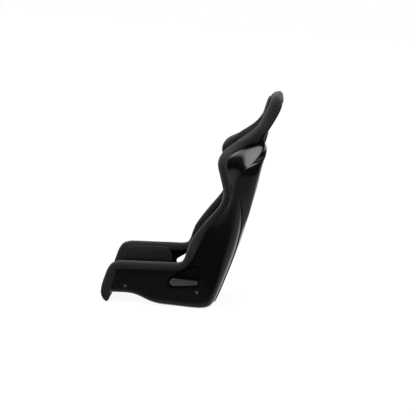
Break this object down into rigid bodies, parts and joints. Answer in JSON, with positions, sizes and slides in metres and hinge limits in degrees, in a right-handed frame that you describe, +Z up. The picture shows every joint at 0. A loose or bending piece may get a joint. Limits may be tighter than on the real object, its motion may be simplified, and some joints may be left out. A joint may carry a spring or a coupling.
{
  "type": "racing seat",
  "caption": "Fixed-back bucket seat with deep thigh sides, shoulder wings and a head section, a padded rim, loose cushions, belt slots and side-mount inserts.",
  "frame": {"origin": "on the ground, under the middle of the seat's bounding box", "axes": "+Z up; the seat faces -Y, so +Y runs to its back; +X is the occupant's left side, across the seat"},
  "size_m": [0.5258, 0.6637, 0.8858],
  "materials": {
    "gelcoat": "polished black gel coat over a fibre laminate",
    "insert_steel": "zinc-plated",
    "plate_steel": "plain",
    "trim_rubber": "matte black",
    "bezel_plastic": "fine grain black",
    "cushion_fabric": "charcoal velour",
    "rim_fabric": "charcoal woven cover over foam",
    "lining_fabric": "charcoal woven",
    "hook_tape": "hook-and-loop tape"
  },
  "bodies": {
    "root": {"main_shell": "gelcoat", "back_panel": "gelcoat", "mount_inserts": "insert_steel", "insert_plates": "plate_steel", "lap_slot_trim_left": "trim_rubber", "lap_slot_trim_right": "trim_rubber", "harness_bezel_left": "bezel_plastic", "harness_bezel_right": "bezel_plastic", "crotch_slot_trim": "bezel_plastic", "base_cushion": "cushion_fabric", "lumbar_cushion": "cushion_fabric", "back_cushion": "cushion_fabric", "head_cushion": "cushion_fabric", "thigh_pad_left": "cushion_fabric", "thigh_pad_right": "cushion_fabric", "shoulder_pad_left": "cushion_fabric", "shoulder_pad_right": "cushion_fabric", "pan_lining_left": "lining_fabric", "pan_lining_right": "lining_fabric", "side_lining_left": "lining_fabric", "side_lining_right": "lining_fabric", "back_lining": "lining_fabric", "head_lining": "lining_fabric", "front_lip_pad": "rim_fabric", "leg_roll_left": "rim_fabric", "leg_roll_right": "rim_fabric", "side_roll_left": "rim_fabric", "side_roll_right": "rim_fabric", "shoulder_roll_left": "rim_fabric", "shoulder_roll_right": "rim_fabric", "head_roll": "rim_fabric", "base_hook_strips": "hook_tape", "back_hook_strips": "hook_tape", "head_hook_strips": "hook_tape"}
  },
  "joints": []
}
